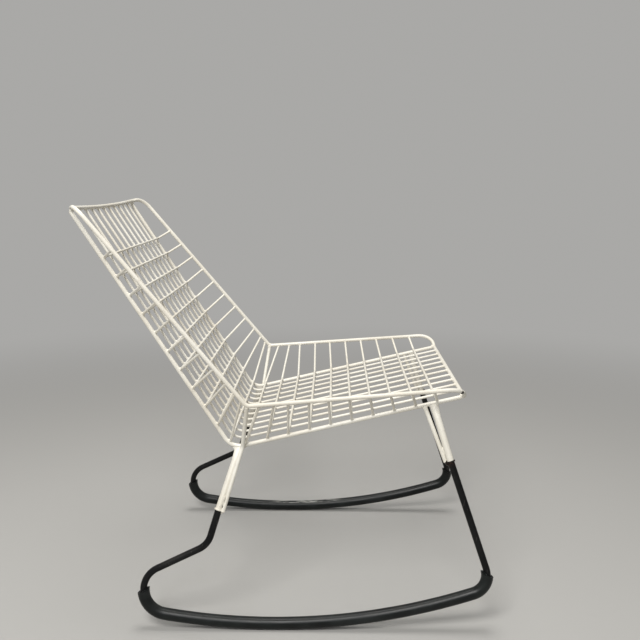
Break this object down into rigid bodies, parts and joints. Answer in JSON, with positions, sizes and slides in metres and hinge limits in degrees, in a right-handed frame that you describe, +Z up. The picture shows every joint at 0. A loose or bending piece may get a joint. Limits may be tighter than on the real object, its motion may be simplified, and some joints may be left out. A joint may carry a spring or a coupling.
{
  "type": "rocking chair",
  "caption": "Low lounge rocking chair: a welded rod and wire mesh shell with folded wings, on splayed bent tube rockers in rubber sleeves.",
  "frame": {"origin": "middle of the bounding box, at floor level", "axes": "+X the way the sitter faces, +Y the sitter's left, +Z up; the chair is mirror-symmetric about the XZ plane, tallest along Z and narrowest along Y"},
  "size_m": [0.7849, 0.6126, 0.7965],
  "materials": {
    "ivory_paint": "semi-gloss ivory paint on steel rod, wire and tube, a little worn at the welds",
    "black_tube": "semi-gloss black paint on steel tube, browned at the weld",
    "black_rubber": "smooth black rubber hose, scuffed where it meets the floor"
  },
  "bodies": {
    "root": {"rim_rod": "ivory_paint", "fold_rod_left": "ivory_paint", "fold_rod_right": "ivory_paint", "long_wire_01": "ivory_paint", "long_wire_02": "ivory_paint", "long_wire_03": "ivory_paint", "long_wire_04": "ivory_paint", "long_wire_05": "ivory_paint", "long_wire_06": "ivory_paint", "long_wire_07": "ivory_paint", "long_wire_08": "ivory_paint", "long_wire_09": "ivory_paint", "long_wire_10": "ivory_paint", "back_wire_01": "ivory_paint", "back_wire_02": "ivory_paint", "back_wire_03": "ivory_paint", "back_wire_04": "ivory_paint", "back_wire_05": "ivory_paint", "back_wire_06": "ivory_paint", "back_wire_07": "ivory_paint", "back_wire_08": "ivory_paint", "back_wire_09": "ivory_paint", "back_wire_10": "ivory_paint", "back_wire_11": "ivory_paint", "seat_wire_01": "ivory_paint", "seat_wire_02": "ivory_paint", "seat_wire_03": "ivory_paint", "seat_wire_04": "ivory_paint", "seat_wire_05": "ivory_paint", "seat_wire_06": "ivory_paint", "seat_wire_07": "ivory_paint", "seat_wire_08": "ivory_paint", "seat_wire_09": "ivory_paint", "seat_wire_10": "ivory_paint", "leg_tube_rear_left": "ivory_paint", "leg_tube_rear_right": "ivory_paint", "leg_tube_front_left": "ivory_paint", "leg_tube_front_right": "ivory_paint", "brace_rod_rear_left": "ivory_paint", "brace_rod_rear_right": "ivory_paint", "brace_rod_front_left": "ivory_paint", "brace_rod_front_right": "ivory_paint", "rocker_tube_left": "black_tube", "rocker_tube_right": "black_tube", "rubber_sleeve_left": "black_rubber", "rubber_sleeve_right": "black_rubber"}
  },
  "joints": []
}
